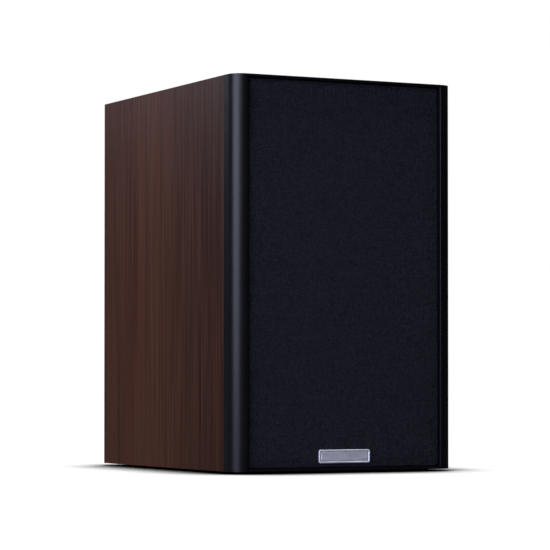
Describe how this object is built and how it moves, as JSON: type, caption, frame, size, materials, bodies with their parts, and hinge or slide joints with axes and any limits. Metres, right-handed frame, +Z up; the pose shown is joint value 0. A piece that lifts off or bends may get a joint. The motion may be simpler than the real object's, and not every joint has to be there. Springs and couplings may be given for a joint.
{
  "type": "bookshelf speaker",
  "caption": "Bookshelf loudspeaker: walnut-finished ported cabinet, black baffle, pull-off cloth grille with a plain metal badge, cone woofer, dome tweeter and rear binding posts.",
  "frame": {"origin": "middle of the overall footprint, on the surface that the rubber feet stand on", "axes": "+Z up, -Y to the front (the grille side), +X to the right of someone facing the front"},
  "size_m": [0.194, 0.257, 0.307],
  "materials": {
    "walnut_foil": "satin walnut foil over fibreboard, grain running up the sides",
    "rear_black": "matt black foil over fibreboard",
    "baffle_black": "fine textured satin black paint over fibreboard",
    "raw_board": "plain sawn fibreboard",
    "foot_rubber": "moulded black rubber",
    "basket_paint": "black powder coat on pressed steel",
    "gasket_foam": "closed-cell foam",
    "screw_black": "black oxide on steel",
    "surround_rubber": "soft moulded rubber",
    "cone_polymer": "pressed polypropylene, faint turning rings",
    "cap_polymer": "pressed polypropylene dome",
    "former_metal": "thin rolled foil",
    "copper_wire": "enamelled copper wire, close wound",
    "spider_cloth": "resin-dipped folded cotton",
    "plate_steel": "zinc-plated steel",
    "ferrite": "sintered ferrite, ground faces",
    "strip_fibre": "phenolic fibre board",
    "tinsel": "braided tinsel",
    "moulded_black": "moulded ABS, fine spark texture",
    "dome_silk": "coated silk",
    "grille_cloth": "black knitted polyester, stretched",
    "peg_plastic": "moulded nylon",
    "badge_metal": "brushed plate with a raised border",
    "gold_plate": "gold-plated brass",
    "red_plastic": "clear-coated red moulding",
    "black_plastic": "glossy black moulding",
    "tag_metal": "tinned brass",
    "board_green": "solder-masked glass-fibre board",
    "spacer_nylon": "natural nylon",
    "capacitor_film": "yellow film wrap",
    "resistor_ceramic": "cement-filled ceramic case",
    "foam": "open-cell acoustic foam",
    "lead_plastic": "flexible insulated wire"
  },
  "bodies": {
    "cabinet": {"black_post_collar": "black_plastic", "black_post_stud": "gold_plate", "bottom_panel": "walnut_foil", "capacitors": "capacitor_film", "crossover_board": "board_green", "crossover_screws": "screw_black", "crossover_standoffs": "spacer_nylon", "driver_leads": "lead_plastic", "foam_pads": "foam", "front_baffle": "baffle_black", "grille_sockets": "foot_rubber", "inductor_core": "ferrite", "inductor_windings": "copper_wire", "input_leads": "lead_plastic", "left_side_panel": "walnut_foil", "port_tube": "moulded_black", "post_nuts": "gold_plate", "rear_panel": "rear_black", "red_post_collar": "red_plastic", "red_post_stud": "gold_plate", "resistors": "resistor_ceramic", "right_side_panel": "walnut_foil", "rubber_feet": "foot_rubber", "solder_tags": "tag_metal", "terminal_cup": "moulded_black", "terminal_cup_screws": "screw_black", "top_panel": "walnut_foil", "tweeter_faceplate": "moulded_black", "tweeter_gasket": "gasket_foam", "tweeter_magnet": "ferrite", "tweeter_pole_yoke": "plate_steel", "tweeter_screws": "screw_black", "tweeter_surround": "dome_silk", "tweeter_terminals": "moulded_black", "tweeter_top_plate": "plate_steel", "window_brace": "raw_board", "woofer_basket": "basket_paint", "woofer_gasket": "gasket_foam", "woofer_magnet": "ferrite", "woofer_pole_yoke": "plate_steel", "woofer_screws": "screw_black", "woofer_spider": "spider_cloth", "woofer_surround": "surround_rubber", "woofer_terminal_strip": "strip_fibre", "woofer_tinsel_leads": "tinsel", "woofer_top_plate": "plate_steel"},
    "grille": {"grille_frame": "moulded_black", "grille_cloth": "grille_cloth", "grille_pegs": "peg_plastic", "badge": "badge_metal"},
    "woofer_moving": {"woofer_cone": "cone_polymer", "woofer_dust_cap": "cap_polymer", "woofer_coil_former": "former_metal", "woofer_voice_coil": "copper_wire"},
    "tweeter_moving": {"tweeter_dome": "dome_silk", "tweeter_voice_coil": "copper_wire"},
    "red_washer": {"red_post_washer": "gold_plate"},
    "red_cap": {"red_post_cap": "red_plastic"},
    "black_washer": {"black_post_washer": "gold_plate"},
    "black_cap": {"black_post_cap": "black_plastic"}
  },
  "joints": [
    {"name": "grille_pull", "type": "slide", "parent": "cabinet", "child": "grille", "axis": [0, -1, 0], "range_m": [0, 0.06]},
    {"name": "woofer_stroke", "type": "slide", "parent": "cabinet", "child": "woofer_moving", "axis": [0, 1, 0], "range_m": [-0.004, 0.004], "stiffness_N_per_m": 1000, "deforming": ["woofer_surround", "woofer_spider", "woofer_tinsel_leads"]},
    {"name": "tweeter_stroke", "type": "slide", "parent": "cabinet", "child": "tweeter_moving", "axis": [0, 1, 0], "range_m": [-0.0003, 0.0003], "stiffness_N_per_m": 500, "deforming": ["tweeter_surround"]},
    {"name": "red_washer_slide", "type": "slide", "parent": "cabinet", "child": "red_washer", "axis": [0, 1, 0], "range_m": [0, 0.004]},
    {"name": "red_cap_turn", "type": "hinge", "parent": "red_washer", "child": "red_cap", "pos_m": [0.00953, 0.1155, 0.082], "axis": [0, 1, 0], "range_deg": [0, 1440]},
    {"name": "black_washer_slide", "type": "slide", "parent": "cabinet", "child": "black_washer", "axis": [0, 1, 0], "range_m": [0, 0.004]},
    {"name": "black_cap_turn", "type": "hinge", "parent": "black_washer", "child": "black_cap", "pos_m": [-0.00953, 0.1155, 0.082], "axis": [0, 1, 0], "range_deg": [0, 1440]}
  ],
  "couplings": [
    {"joint": "red_cap_turn", "follows": "red_washer_slide", "rad_per_m": 6283},
    {"joint": "black_cap_turn", "follows": "black_washer_slide", "rad_per_m": 6283}
  ]
}
